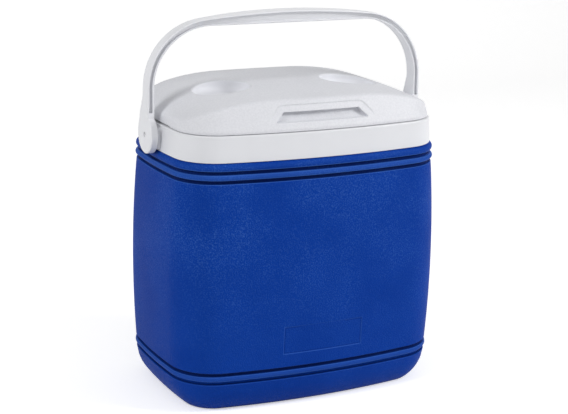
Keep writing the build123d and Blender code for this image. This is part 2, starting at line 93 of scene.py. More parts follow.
def front_arc(pull_x, pull_y):
    """Radius of the front edge's bow, and how far forward its centre is, for a drawn-in outline."""
    corner_x = HALF_X - pull_x - SIDE_BOW
    radius = (corner_x**2 + FRONT_BOW**2) / (2 * FRONT_BOW)
    return radius, radius - (HALF_Y - pull_y)


def plan(offset, z, pull_x=0.0, pull_y=0.0, steps=FRONT_STEPS):
    """Points round the bowed outline at height z, anticlockwise from the middle of the front."""
    front_r, front_y = front_arc(pull_x, pull_y)
    corner = Vector((HALF_X - pull_x - SIDE_BOW, FRONT_BOW - HALF_Y + pull_y))
    side_r = (corner.y**2 + SIDE_BOW**2) / (2 * SIDE_BOW)
    front_turn = math.asin(corner.x / front_r)
    side_turn = math.asin(-corner.y / side_r)
    reach = (front_r + CORNER_R + 8) * math.sin(front_turn)
    quarter = []
    for step in steps:
        turn = math.asin(step / reach * math.sin(front_turn))
        radius = front_r + CORNER_R + offset
        quarter.append((radius * math.sin(turn), front_y - radius * math.cos(turn)))
    for step in range(CORNER_STEPS):
        turn = front_turn + (math.pi / 2 - side_turn - front_turn) * step / CORNER_STEPS
        radius = CORNER_R + offset
        quarter.append((corner.x + radius * math.sin(turn), corner.y - radius * math.cos(turn)))
    for step in range(SIDE_STEPS + 1):
        turn = side_turn * (1 - step / SIDE_STEPS)
        radius = side_r + CORNER_R + offset
        quarter.append((HALF_X - pull_x - side_r + radius * math.cos(turn), -radius * math.sin(turn)))
    right = quarter + [(x, -y) for x, y in reversed(quarter[:-1])]
    left = [(-x, y) for x, y in reversed(right[1:-1])]
    return [(x, y, z) for x, y in right + left]


def circle_through(first, middle, last):
    """Centre and radius of the circle through three flat points."""
    (ax, ay), (bx, by), (cx, cy) = first, middle, last
    scale = 2 * (ax * (by - cy) + bx * (cy - ay) + cx * (ay - by))
    a2, b2, c2 = ax**2 + ay**2, bx**2 + by**2, cx**2 + cy**2
    x = (a2 * (by - cy) + b2 * (cy - ay) + c2 * (ay - by)) / scale
    y = (a2 * (cx - bx) + b2 * (ax - cx) + c2 * (bx - ax)) / scale
    return x, y, math.hypot(ax - x, ay - y)


def arc(first, middle, last, steps):
    """Points inside the arc through three points, its two ends left out."""
    x, y, radius = circle_through(first, middle, last)
    start = math.atan2(first[1] - y, first[0] - x)
    turn = math.remainder(math.atan2(last[1] - y, last[0] - x) - start, math.tau)
    angles = [start + turn * step / steps for step in range(1, steps)]
    return [(x + radius * math.cos(angle), y + radius * math.sin(angle)) for angle in angles]


def soften(corners, steps=4, closed=True):
    """Rounds the corners of a flat line. A corner is (u, v) or (u, v, radius)."""
    line = []
    for index, corner in enumerate(corners):
        here = Vector(corner[:2])
        at_end = not closed and index in (0, len(corners) - 1)
        if len(corner) == 2 or at_end:
            line.append(tuple(here))
            continue
        before = (Vector(corners[index - 1][:2]) - here).normalized()
        after = (Vector(corners[(index + 1) % len(corners)][:2]) - here).normalized()
        half_turn = before.angle(after) / 2
        reach = corner[2] / math.tan(half_turn)
        centre = here + (before + after).normalized() * corner[2] / math.sin(half_turn)
        first = (here + before * reach - centre).normalized()
        last = (here + after * reach - centre).normalized()
        line.append(tuple(here + before * (reach + 0.12 * corner[2])))
        for step in range(steps + 1):
            line.append(tuple(centre + first.slerp(last, step / steps) * corner[2]))
        line.append(tuple(here + after * (reach + 0.12 * corner[2])))
    return line


def loop_faces(loops, count, first=0, closed=False):
    """Four-cornered faces between loops of count points each, whose numbers start at first."""
    faces = []
    for low in range(loops if closed else loops - 1):
        high = (low + 1) % loops
        for place in range(count):
            after = (place + 1) % count
            faces.append([first + low * count + place, first + low * count + after,
                          first + high * count + after, first + high * count + place])
    return faces


def closed_mesh(name, points, faces):
    """An object from points in millimetres, with its doubled points merged and its faces turned out."""
    mesh = bpy.data.meshes.new(name)
    mesh.from_pydata([Vector(point) / 1000 for point in points], [], faces)
    work = bmesh.new()
    work.from_mesh(mesh)
    bmesh.ops.remove_doubles(work, verts=work.verts, dist=1e-6)
    bmesh.ops.recalc_face_normals(work, faces=work.faces)
    work.to_mesh(mesh)
    work.free()
    piece = bpy.data.objects.new(name, mesh)
    bpy.context.scene.collection.objects.link(piece)
    return piece


SHARP_TURN = 38


def make_piece(name, points, faces, finish, body, slot, node):
    """A piece with its finish, riding on body and standing for node."""
    piece = closed_mesh(name, points, faces)
    piece.data.materials.append(finish)
    piece.data.shade_smooth()
    piece.data.set_sharp_from_angle(angle=math.radians(SHARP_TURN))
    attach(piece, body)
    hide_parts(node)
    return piece


# Grained polypropylene: a deep satin blue whose fine leathery grain breaks every highlight up, so its
# IOR is matched far below the plastic's 1.49. The grain is finer than 1 mm and is drawn at 1.7 and
# 1.9 mm so that it shows, with pale flecks of painted glint that gather in patches and on the upper
# half, and tone drifts over 90 mm.
wall_plastic, tree = new_tree("grained_blue_polypropylene")
place = add(tree, "TexCoord").outputs["Object"]
grain = add(tree, "TexNoise", {"Vector": place, "Scale": 1 / 0.0017, "Detail": 2.0, "Roughness": 0.55})
pores = add(tree, "TexVoronoi", {"Vector": place, "Scale": 1 / 0.0019, "Randomness": 1.0})
broad = add(tree, "TexNoise", {"Vector": place, "Scale": 1 / 0.09, "Detail": 3.0})
relief = add(tree, "Math", {0: grain.outputs["Fac"], 1: pores.outputs["Distance"]}, operation="ADD")
tint = add(tree, "Mix", {0: broad.outputs["Fac"], 6: linear("06328A"), 7: linear("0F3F9E")},
           data_type="RGBA")
# Flecks of 3A63B0 stand in for the grain's glints: painted highlights, in patches and stronger higher up.
fleck = add(tree, "MapRange", {"Value": grain.outputs["Fac"], 1: 0.48, 2: 0.74, 3: 0.0, 4: 1.0})
glint_patches = add(tree, "MapRange", {"Value": broad.outputs["Fac"], 1: 0.38, 2: 0.62, 3: 0.14, 4: 0.5})
height = add(tree, "SeparateXYZ", {"Vector": place}).outputs["Z"]
upper_glint_boost = add(tree, "MapRange", {"Value": height, 1: 0.09, 2: 0.24, 3: 0.4, 4: 1.6})
patchy_glint = add(tree, "Math", {0: fleck.outputs[0], 1: glint_patches.outputs[0]}, operation="MULTIPLY")
painted_glint = add(tree, "Math", {0: patchy_glint.outputs[0], 1: upper_glint_boost.outputs[0]}, operation="MULTIPLY")
speck = add(tree, "Mix", {0: painted_glint.outputs[0], 6: tint.outputs[2], 7: linear("3A63B0")}, data_type="RGBA")
# Sharp edges turn paler by pointiness: partly wear, partly a painted highlight along the groove lips.
edge_wear_and_highlight = add(tree, "MapRange", {"Value": add(tree, "NewGeometry").outputs["Pointiness"], 1: 0.52, 2: 0.6,
                              3: 0.0, 4: 0.4})
worn_and_highlit = add(tree, "Mix", {0: edge_wear_and_highlight.outputs[0], 6: speck.outputs[2], 7: linear("3161B8")}, data_type="RGBA")
# Painted shade in the groove roots (0C1238) and painted highlights on lips, beads and panel rim (4A7ACB).
groove_light_share = add(tree, "Attribute", attribute_name="painted_groove_shade_highlight").outputs["Fac"]
painted_root_shade = add(tree, "MapRange", {"Value": groove_light_share, 1: 0.25, 2: 0.85, 3: 0.0, 4: 0.7})
root_shaded = add(tree, "Mix", {0: painted_root_shade.outputs[0], 6: worn_and_highlit.outputs[2], 7: linear("0C1238")}, data_type="RGBA")
painted_lip_highlight = add(tree, "MapRange", {"Value": groove_light_share, 1: -0.3, 2: -1.0, 3: 0.0, 4: 0.5})
lip_highlit = add(tree, "Mix", {0: painted_lip_highlight.outputs[0], 6: root_shaded.outputs[2], 7: linear("4A7ACB")}, data_type="RGBA")
bump = add(tree, "Bump", {"Height": relief.outputs[0], "Strength": 0.55, "Distance": 0.0005})
gloss = add(tree, "MapRange", {"Value": pores.outputs["Distance"], 1: 0.1, 2: 0.7, 3: 0.42, 4: 0.56})
skin = add(tree, "BsdfPrincipled", {"Base Color": lip_highlit.outputs[2], "Roughness": gloss.outputs[0],
                                    "Normal": bump.outputs[0], "IOR": 1.1})
add(tree, "OutputMaterial", {"Surface": skin.outputs[0]})

GROOVE_DEPTH = 4.3
GROOVE_HALF_W = 2.6
LIP_ROUND = 0.8
ROOT_ROUND = 0.9
BARREL = ((5.4, 59.6), (9.4, 160.0), (3.6, 315.4))
GROOVES = ((4.6, 44.1), (5.4, 55.9), (3.6, 316.9), (2.8, 328.7))


def groove(surface, z):
    """Corners of one rolled groove, from below to above."""
    root = surface - GROOVE_DEPTH
    return [(surface, z - GROOVE_HALF_W, LIP_ROUND), (root, z - 0.8 * GROOVE_HALF_W, ROOT_ROUND),
            (root, z + 0.8 * GROOVE_HALF_W, ROOT_ROUND), (surface, z + GROOVE_HALF_W, LIP_ROUND)]


panel_rings = [z for side in (-1, 1) for z in (
    PANEL_Z + side * (PANEL_HALF_H + gap)
    for gap in (-14, -9, -6, -4.2, -3, -2, -1.4, -0.9, -0.5, -0.1, 0.3, 0.7, 1.3, 2.5, 5, 9, 14))]
barrel_x, barrel_z, barrel_r = circle_through(*BARREL)


def barrel_offset(z):
    """How far the barrel's surface stands outside the outline at height z."""
    return barrel_x + math.sqrt(barrel_r**2 - (z - barrel_z) ** 2)


barrel_rings = sorted(panel_rings + [PANEL_Z, 64, *[136 + 8.5 * step for step in range(21)]])
outside = [(-45, 6, 0.8), (-45, 0, 1.2), (-19, 0, 2.0)]
outside += arc((-19, 0), (-6.84, 12), (2.2, 30), 10) + [(2.2, 30), (3.3, 36)]
outside += groove(*GROOVES[0]) + arc((4.6, 46.7), (6.2, 50.0), (5.4, 53.3), 4) + groove(*GROOVES[1])
outside += [(barrel_offset(z), z) for z in barrel_rings]
outside += groove(*GROOVES[2]) + arc((3.6, 319.5), (5.2, 322.8), (2.8, 326.1), 4) + groove(*GROOVES[3])
outside += arc((2.8, 331.3), (4.4, 335.7), (0.6, 340.5), 5) + [(0.6, 340.5, 0.4), (-1.2, 341.5, 0.3)]
outside += [(-5, 341.5, 0.5), (-5, 352, 0.8)]
inside = [(-8, 352, 0.8), (-8, 337.5), (-1.4, 331.5), (-1.4, 313), (0.6, 308)]
inside += arc((0.6, 308), (6.4, 160), (2.4, 67), 12) + [(2.4, 67), (0.4, 62), (0.4, 33.4)]
inside += arc((0.4, 33.4), (-8, 18.6), (-20, 9), 6) + [(-20, 9)]
section = soften([(-50, 6), *outside, *inside, (-50, 9)])
rings = [plan(offset, z, steps=PANEL_STEPS) for offset, z in section]


def hub(ring, radius):
    """A round loop at the ring's height whose points lie straight in from the ring's."""
    return [(x * radius / math.hypot(x, y), y * radius / math.hypot(x, y), z) for x, y, z in ring]


rings = [hub(rings[0], 12.0), *rings, hub(rings[-1], 12.0)]


def ease(value, low, high):
    """Smooth step from 0 at low to 1 at high."""
    share = min(1.0, max(0.0, (value - low) / (high - low)))
    return share * share * (3 - 2 * share)


def panel_point(x, z):
    """Where a point of the front wall goes, so that the grid's lines run round the panel's corners."""
    across = abs(x) - (PANEL_HALF_W - PANEL_ROUND)
    up = abs(z - PANEL_Z) - (PANEL_HALF_H - PANEL_ROUND)
    far = max(across, up)
    if min(across, up) > 0 and far < PANEL_ROUND + PANEL_FADE:
        keep = min(1.0, max(0.0, (far - PANEL_ROUND) / PANEL_FADE))
        round_across = across * math.sqrt(1 - up**2 / (2 * far**2))
        round_up = up * math.sqrt(1 - across**2 / (2 * far**2))
        across += (round_across - across) * (1 - keep)
        up += (round_up - up) * (1 - keep)
        x = math.copysign(across + PANEL_HALF_W - PANEL_ROUND, x)
        z = PANEL_Z + math.copysign(up + PANEL_HALF_H - PANEL_ROUND, z - PANEL_Z)
    inward = PANEL_ROUND - far
    front_r, front_y = front_arc(0, 0)
    sunk = PANEL_DEPTH * ease(inward, -0.5 * RIM_SOFT, 0.5 * RIM_SOFT)
    radius = front_r + CORNER_R + barrel_offset(z) - sunk
    return x, front_y - math.sqrt(radius**2 - x**2), z


FRONT_FACE_Y = -HALF_Y - CORNER_R - 4
points = [point for ring in rings for point in ring]
for index, (x, y, z) in enumerate(points):
    near_panel = abs(x) < PANEL_HALF_W + 16 and abs(z - PANEL_Z) < PANEL_HALF_H + 17
    if near_panel and y < FRONT_FACE_Y:
        points[index] = panel_point(x, z)
wall = make_piece("outer_wall", points, loop_faces(len(rings), len(rings[0]), closed=True),
                  wall_plastic, "carrier_body", "wall_plastic", "outer_shell")


# The painted shade in the grooves' roots, and the painted highlights on their lips, the beads and the
# panel's rim, are carried by the mesh: above 0 the plastic is painted darker, below 0 paler.
LIP_SHARE = 0.12
BEAD_HIGHLIGHT = 0.48
RIM_HIGHLIGHT = 0.9
RIM_W = 0.8
RIM_SHADE = 0.4


def sunk_share(offset, z):
    """How far down a groove a point lies: 0 outside the grooves, 1 at their root, -1 on their lips."""
    for surface, height in GROOVES:
        if abs(z - height) <= GROOVE_HALF_W + 0.4:
            share = (surface - offset) / GROOVE_DEPTH
            return -1.0 if share < LIP_SHARE else min(1.0, share)
    # The beads between paired grooves get a negative share: a painted highlight.
    on_bead = GROOVES[0][1] < z < GROOVES[1][1] or GROOVES[2][1] < z < GROOVES[3][1]
    return -BEAD_HIGHLIGHT if on_bead and offset > 0 else 0.0


shares = [0.0, *[sunk_share(*spot) for spot in section], 0.0]
shares = [share for share in shares for _ in rings[0]]
# The panel's rim is painted paler, a painted highlight, with a band of painted shade just inside it.
for index, (x, y, z) in enumerate(points):
    if y < FRONT_FACE_Y and abs(z - PANEL_Z) < PANEL_HALF_H + 10:
        inward = -max(abs(x) - PANEL_HALF_W, abs(z - PANEL_Z) - PANEL_HALF_H)
        shares[index] = -RIM_HIGHLIGHT * max(0.0, 1 - abs(inward) / RIM_W)
        if RIM_W < inward < 3 * RIM_W:
            shares[index] += RIM_SHADE
carried = wall.data.attributes.new("painted_groove_shade_highlight", "FLOAT", "POINT")
carried.data.foreach_set("value", shares)


# ---------------------------------------------------------------- tub, insulation and base plug
# The white tub that lines the box, the foam poured round it, and the push-in plug that closes the
# hole the foam went in by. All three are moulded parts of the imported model.
def coat(material, *names):
    """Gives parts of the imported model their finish."""
    for name in names:
        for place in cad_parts[name].material_slots:
            place.material = material


# High-impact polystyrene sheet, vacuum formed: smooth and glossy, faintly rippled where it stretched.
liner_plastic, tree = new_tree("formed_white_polystyrene")
place = add(tree, "TexCoord").outputs["Object"]
ripple = add(tree, "TexNoise", {"Vector": place, "Scale": 1 / 0.04, "Detail": 2.0})
scuff = add(tree, "TexNoise", {"Vector": place, "Scale": 1 / 0.006, "Detail": 6.0, "Distortion": 0.6})
tint = add(tree, "Mix", {0: ripple.outputs["Fac"], 6: linear("DCDDDA"), 7: linear("E6E7E5")},
           data_type="RGBA")
gloss = add(tree, "MapRange", {"Value": scuff.outputs["Fac"], 1: 0.3, 2: 0.7, 3: 0.2, 4: 0.38})
bump = add(tree, "Bump", {"Height": ripple.outputs["Fac"], "Strength": 0.3, "Distance": 0.0006})
skin = add(tree, "BsdfPrincipled", {"Base Color": tint.outputs[2], "Roughness": gloss.outputs[0],
                                    "Normal": bump.outputs[0], "IOR": 1.55})
add(tree, "OutputMaterial", {"Surface": skin.outputs[0]})
coat(liner_plastic, "inner_liner", "lid_pan")

# Rigid polyurethane foam, poured: matt cream with fine closed cells and darker skins.
foam, tree = new_tree("poured_cream_polyurethane")
place = add(tree, "TexCoord").outputs["Object"]
cells = add(tree, "TexVoronoi", {"Vector": place, "Scale": 1 / 0.0016})
cloud = add(tree, "TexNoise", {"Vector": place, "Scale": 1 / 0.03, "Detail": 4.0})
tint = add(tree, "Mix", {0: cloud.outputs["Fac"], 6: linear("D8C68E"), 7: linear("E8DAB0")},
           data_type="RGBA")
bump = add(tree, "Bump", {"Height": cells.outputs["Distance"], "Strength": 0.6, "Distance": 0.0004})
skin = add(tree, "BsdfPrincipled", {"Base Color": tint.outputs[2], "Roughness": 0.9,
                                    "Normal": bump.outputs[0], "IOR": 1.4})
add(tree, "OutputMaterial", {"Surface": skin.outputs[0]})
coat(foam, "body_insulation", "lid_insulation")
coat(wall_plastic, "base_plug")


# ---------------------------------------------------------------- rim collar
# The white collar that caps wall and tub: an injection-moulded ring leaning in a little, with a
# square-shouldered boss at each end that carries the handle's pivot pin.
# Polished polypropylene: smooth satin white, with a soft clean highlight and hardly any grain.
collar_plastic, tree = new_tree("satin_white_polypropylene")
place = add(tree, "TexCoord").outputs["Object"]
flow = add(tree, "TexNoise", {"Vector": place, "Scale": 1 / 0.05, "Detail": 2.0})
grain = add(tree, "TexNoise", {"Vector": place, "Scale": 1 / 0.0012, "Detail": 3.0})
tint = add(tree, "Mix", {0: flow.outputs["Fac"], 6: linear("DCDDE1"), 7: linear("E2E3E7")},
           data_type="RGBA")
gloss = add(tree, "MapRange", {"Value": flow.outputs["Fac"], 1: 0.3, 2: 0.7, 3: 0.3, 4: 0.4})
bump = add(tree, "Bump", {"Height": grain.outputs["Fac"], "Strength": 0.15, "Distance": 0.0002})
skin = add(tree, "BsdfPrincipled", {"Base Color": tint.outputs[2], "Roughness": gloss.outputs[0],
                                    "Normal": bump.outputs[0], "IOR": 1.49})
add(tree, "OutputMaterial", {"Surface": skin.outputs[0]})

PIVOT_Z = 362.0
BOSS_HALF_W = 18.0
BOSS_FOOT_Z = 344.0
BOSS_TOP_Z = 374.0
BOSS_ROUND = 3.0
BOSS_FACE_X = 194.4
BOSS_BACK_X = 186.0
BORE_R = 5.02

collar_section = soften([
    (-2.6, 341.7, 0.4), (0.6, 341.7, 0.5), (0.4, 347.7), (-0.3, 360.7), (-1.2, 373.8),
    *arc((-1.2, 373.8), (-1.7, 375.7), (-3.2, 376.4), 5), (-3.2, 376.4), (-20.35, 376.4, 0.3),
    (-20.35, 373.4, 0.3), (-5.8, 373.4, 0.5),
])
rings = [plan(offset, z) for offset, z in collar_section]
band = ([point for ring in rings for point in ring], loop_faces(len(rings), len(rings[0]), closed=True))


def combine(base, tools, operation):
    """Points and faces, in millimetres, of a solid after others are added to it or cut out of it."""
    solids = [closed_mesh("solid", *solid) for solid in (base, *tools)]
    for tool in solids[1:]:
        step = solids[0].modifiers.new("solid", "BOOLEAN")
        step.operation = operation
        step.solver = "EXACT"
        step.object = tool
    result = solids[0].evaluated_get(bpy.context.evaluated_depsgraph_get()).to_mesh()
    points = [vertex.co * 1000 for vertex in result.vertices]
    faces = [list(face.vertices) for face in result.polygons]
    for solid in solids:
        mesh = solid.data
        bpy.data.objects.remove(solid)
        bpy.data.meshes.remove(mesh)
    return points, faces


def rounded_frame(corners, radius, extras, steps=4):
    """A closed line of straight sides and round corners, with extra points along each side."""
    line = soften([(*corner, radius) for corner in corners], steps)
    group = steps + 3
    filled = []
    for corner, extra in enumerate(extras):
        filled += line[corner * group:(corner + 1) * group]
        start = Vector(filled[-1])
        end = Vector(line[(corner + 1) * group % len(line)])
        filled += [tuple(start.lerp(end, step / (extra + 1))) for step in range(1, extra + 1)]
    return filled


def boss_loop(x, inset):
    """The boss's outline at x, drawn in by inset."""
    half = BOSS_HALF_W - inset
    top, foot = BOSS_TOP_Z - inset, BOSS_FOOT_Z + inset
    corners = ((half, top), (-half, top), (-half, foot), (half, foot))
    return [(x, y, z) for y, z in rounded_frame(corners, BOSS_ROUND - inset, (12, 10, 12, 10))]


bosses = []
for side in (1, -1):
    loops = [boss_loop(side * x, inset) for x, inset in (
        (BOSS_BACK_X, 0), (BOSS_FACE_X - 1.3, 0), (BOSS_FACE_X - 1.0, 0), (BOSS_FACE_X - 0.6, 0.1),
        (BOSS_FACE_X - 0.3, 0.3), (BOSS_FACE_X - 0.1, 0.6), (BOSS_FACE_X, 1.0), (BOSS_FACE_X, 1.4))]
    for x in (BOSS_FACE_X, BOSS_BACK_X):
        spread = [math.hypot(y, z - PIVOT_Z) for _, y, z in loops[0]]
        loops.append([(side * x, y * BORE_R / far, PIVOT_Z + (z - PIVOT_Z) * BORE_R / far)
                      for (_, y, z), far in zip(loops[0], spread)])
    bosses.append(([point for loop in loops for point in loop],
                   loop_faces(len(loops), len(loops[0]), closed=True)))
make_piece("collar", *combine(band, bosses, "UNION"), collar_plastic, "carrier_body",
           "collar_plastic", "rim_collar")

# ---------------------------------------------------------------- pivot pins and washers
# Turned acetal stubs pressed into the bosses, and the thin washers the handle's eyes rub on.
# Acetal: dense milky white, very smooth, with fine turning rings round its axis.
pivot_plastic, tree = new_tree("turned_white_acetal")
place = add(tree, "TexCoord").outputs["Object"]
spun = add(tree, "VectorMath", {0: place, 1: (0, 0, -PIVOT_Z / 1000)}, operation="ADD")
rings_cut = add(tree, "TexWave", {"Vector": spun.outputs[0], "Scale": 1 / 0.0016, "Distortion": 0.4},
                wave_type="RINGS", rings_direction="X")
cloud = add(tree, "TexNoise", {"Vector": place, "Scale": 1 / 0.008, "Detail": 2.0})
tint = add(tree, "Mix", {0: cloud.outputs["Fac"], 6: linear("D9DAD8"), 7: linear("E4E5E4")},
           data_type="RGBA")
bump = add(tree, "Bump", {"Height": rings_cut.outputs["Fac"], "Strength": 0.25, "Distance": 0.0001})
skin = add(tree, "BsdfPrincipled", {"Base Color": tint.outputs[2], "Roughness": 0.32,
                                    "Normal": bump.outputs[0], "IOR": 1.48})
add(tree, "OutputMaterial", {"Surface": skin.outputs[0]})
coat(pivot_plastic, "pivot_pin_left", "pivot_pin_right", "pivot_washer_left", "pivot_washer_right")

# ---------------------------------------------------------------- vaccine bin
# The open inner box that keeps the vials off the ice: thin translucent polypropylene with drain slots.
# Natural polypropylene: cloudy and waxy, a little light passes into it.
bin_plastic, tree = new_tree("natural_polypropylene")
place = add(tree, "TexCoord").outputs["Object"]
cloud = add(tree, "TexNoise", {"Vector": place, "Scale": 1 / 0.025, "Detail": 3.0})
wax = add(tree, "TexNoise", {"Vector": place, "Scale": 1 / 0.0015, "Detail": 2.0})
tint = add(tree, "Mix", {0: cloud.outputs["Fac"], 6: linear("C6CCD2"), 7: linear("D6DBDF")},
           data_type="RGBA")
bump = add(tree, "Bump", {"Height": wax.outputs["Fac"], "Strength": 0.2, "Distance": 0.0002})
skin = add(tree, "BsdfPrincipled", {"Base Color": tint.outputs[2], "Roughness": 0.38,
                                    "Normal": bump.outputs[0], "IOR": 1.49, "Subsurface Weight": 0.15,
                                    "Subsurface Scale": 0.002})
add(tree, "OutputMaterial", {"Surface": skin.outputs[0]})
coat(bin_plastic, "vaccine_bin")

# ---------------------------------------------------------------- ice packs and their stoppers
# Six blow-moulded packs of water standing round the bin, each with a welded filler stopper.
# Blow-moulded polyethylene: pale icy blue, soft sheen, faint frost where the water shows through.
SIDES = ("front_left", "front_right", "back_left", "back_right", "left", "right")
pack_plastic, tree = new_tree("blown_ice_blue_polyethylene")
place = add(tree, "TexCoord").outputs["Object"]
frost = add(tree, "TexNoise", {"Vector": place, "Scale": 1 / 0.018, "Detail": 5.0, "Distortion": 0.8})
orange_peel = add(tree, "TexNoise", {"Vector": place, "Scale": 1 / 0.003, "Detail": 1.0})
tint = add(tree, "Mix", {0: frost.outputs["Fac"], 6: linear("8FB8D8"), 7: linear("B4D2E6")},
           data_type="RGBA")
gloss = add(tree, "MapRange", {"Value": frost.outputs["Fac"], 1: 0.3, 2: 0.7, 3: 0.32, 4: 0.5})
bump = add(tree, "Bump", {"Height": orange_peel.outputs["Fac"], "Strength": 0.25, "Distance": 0.0004})
skin = add(tree, "BsdfPrincipled", {"Base Color": tint.outputs[2], "Roughness": gloss.outputs[0],
                                    "Normal": bump.outputs[0], "IOR": 1.51, "Subsurface Weight": 0.2,
                                    "Subsurface Scale": 0.003})
add(tree, "OutputMaterial", {"Surface": skin.outputs[0]})
coat(pack_plastic, *["ice_pack_" + side for side in SIDES])

# Moulded polyethylene, spun-welded: plain mid blue with a fine matt grain.
stopper_plastic, tree = new_tree("moulded_blue_polyethylene")
place = add(tree, "TexCoord").outputs["Object"]
grain = add(tree, "TexNoise", {"Vector": place, "Scale": 1 / 0.0008, "Detail": 2.0})
cloud = add(tree, "TexNoise", {"Vector": place, "Scale": 1 / 0.007, "Detail": 2.0})
tint = add(tree, "Mix", {0: cloud.outputs["Fac"], 6: linear("2D62A8"), 7: linear("3B73BA")},
           data_type="RGBA")
bump = add(tree, "Bump", {"Height": grain.outputs["Fac"], "Strength": 0.3, "Distance": 0.0002})
skin = add(tree, "BsdfPrincipled", {"Base Color": tint.outputs[2], "Roughness": 0.45,
                                    "Normal": bump.outputs[0], "IOR": 1.51})
add(tree, "OutputMaterial", {"Surface": skin.outputs[0]})
coat(stopper_plastic, *["pack_stopper_" + side for side in SIDES])


# ---------------------------------------------------------------- lid shell
# The white top of the lid: a leaning band under a crowned top, with two cup recesses and a finger
# pocket in the front band, injection moulded in grained polypropylene.
LID_FOOT_Z = 377.1
LEAN_Z = 381.0
LEAN_RISE = 45.5
LEAN_X = 5.0
LEAN_Y = 11.0
LEAN_BACK = 9.0
LID_OFFSET = -4.0
SHOULDER_Z = 384.0
CROWN_RISE = 37.5
SHOULDER_FLAT = 60.0
SHOULDER_REACH = 126.0
SHOULDER_POWER = 1.9
RIDGE_BEND = 0.025
RIDGE_TILT = 0.017
RIDGE_SOFT = 18.0
CREASE_R = 6.6
FRONT_STRETCH = 1.0
NOTCH_RISE = 1.6
NOTCH_SPAN = (34.0, 42.0)
CUP_X = 95.5
CUP_R = 38.5
CUP_FLOOR_Z = 405.5
CUP_RIM = 2.5
CUP_ROUND = 9.0


def crown(x, y):
    """Height of the lid's crowned top."""
    out = min(1.0, max(0.0, abs(x) - SHOULDER_FLAT) / SHOULDER_REACH)
    fall = RIDGE_BEND * (math.hypot(y, RIDGE_SOFT) - RIDGE_SOFT) - RIDGE_TILT * y
    return SHOULDER_Z + CROWN_RISE * (1 - out**SHOULDER_POWER) ** (1 / SHOULDER_POWER) - fall


def leaning(offset, share):
    """The band's outline for a share of its full lean: drawn in at the front far more than behind."""
    ring = plan(offset, LEAN_Z + share * LEAN_RISE, share * LEAN_X, share * LEAN_Y)
    return [Vector((x, y + share * LEAN_BACK, z)) for x, y, z in ring]


def front_y(x, z):
    """Depth of the band's front face, for x within its bowed part."""
    share = max(0.0, (z - LEAN_Z) / LEAN_RISE)
    radius, centre_y = front_arc(share * LEAN_X, share * LEAN_Y)
    return centre_y + share * LEAN_BACK - math.sqrt((radius + CORNER_R + LID_OFFSET) ** 2 - x * x)


band_low = leaning(LID_OFFSET, 0)
band_high = leaning(LID_OFFSET, 1)
outward = [Vector(far[:2]) - Vector(near[:2]) for near, far in zip(plan(0, 0), plan(1, 0))]
inner_ring = [point.xy for point in leaning(-30, 1)]
count = len(band_low)


def band_point(index, z):
    """One point of the leaning band at height z."""
    return band_low[index].lerp(band_high[index], (z - LEAN_Z) / LEAN_RISE)


def on_crown(flat):
    """The point of the crown over a flat point."""
    return Vector((flat.x, flat.y, crown(flat.x, flat.y)))


def crease(index):
    """Points over the soft crease between band and crown, from the band's end to the crown's start."""
    low, high = LEAN_Z, LEAN_Z + LEAN_RISE
    for _ in range(30):
        middle = (low + high) / 2
        point = band_point(index, middle)
        low, high = (middle, high) if crown(point.x, point.y) > middle else (low, middle)
    corner = band_point(index, low)
    down = (band_point(index, low - 1) - corner).normalized()
    inward = (on_crown(corner.xy - outward[index] * 2) - corner).normalized()
    half_turn = down.angle(inward) / 2
    reach = CREASE_R / math.tan(half_turn)
    start = corner + down * reach
    stretch = 1 + FRONT_STRETCH * max(0.0, -outward[index].y)
    end = on_crown(corner.xy - outward[index] * (stretch * reach * inward.xy.length))
    weight = math.sin(half_turn)
    line = []
    for step in range(9):
        share = step / 8
        parts = ((1 - share) ** 2, 2 * weight * share * (1 - share), share**2)
        line.append((start * parts[0] + corner * parts[1] + end * parts[2]) / sum(parts))
    return line


def over_boss(ring):
    """The foot of the band, raised a little at both ends to clear the collar's bosses."""
    return [(x, y, z + (NOTCH_RISE * (1 - ease(abs(y), *NOTCH_SPAN)) if abs(x) > HALF_X else 0))
            for x, y, z in ring]


BAND_SHARES = (0.04, 0.12, 0.28, 0.44, 0.6, 0.76, 0.9, 0.97)
CROWN_SHARES = (0.015, 0.04, 0.08, 0.14, 0.22, 0.32, 0.44, 0.58, 0.72, 0.86, 1.0)
creases = [crease(index) for index in range(count)]
FOOT_ROUND = ((0.5, 0.0), (0.15, 0.15), (0.0, 0.5))
rings = [over_boss(plan(LID_OFFSET - inset, LID_FOOT_Z + rise)) for inset, rise in FOOT_ROUND]
rings.append(plan(LID_OFFSET, LEAN_Z))
for share in BAND_SHARES:
    rings.append([band_point(index, LEAN_Z + share * (creases[index][0].z - LEAN_Z))
                  for index in range(count)])
rings += [[line[step] for line in creases] for step in range(9)]
for share in CROWN_SHARES:
    rings.append([on_crown(line[-1].xy.lerp(far, share)) for line, far in zip(creases, inner_ring)])
points = [point for ring in rings for point in ring]
faces = loop_faces(len(rings), count)

PATCH_COLUMNS = 12
PATCH_LOW = 4
PATCH_HIGH = 11


def in_patch(face):
    """Whether a face of the band lies where the finger pocket's own surface goes."""
    column = face[0] % count
    row = face[0] // count
    beside = column < PATCH_COLUMNS or column >= count - PATCH_COLUMNS
    return beside and PATCH_LOW <= row < PATCH_HIGH


faces = [face for face in faces if not in_patch(face)]


def within(x, y, line):
    """Whether a flat point lies inside a closed line."""
    inside = False
    for (ax, ay), (bx, by) in zip(line, line[1:] + line[:1]):
        if (ay > y) != (by > y) and x < ax + (bx - ax) * (y - ay) / (by - ay):
            inside = not inside
    return inside


def near(x, y, line, gap):
    """Whether a flat point lies within gap of any point of a line."""
    return any((x - ax) ** 2 + (y - ay) ** 2 < gap * gap for ax, ay in line)


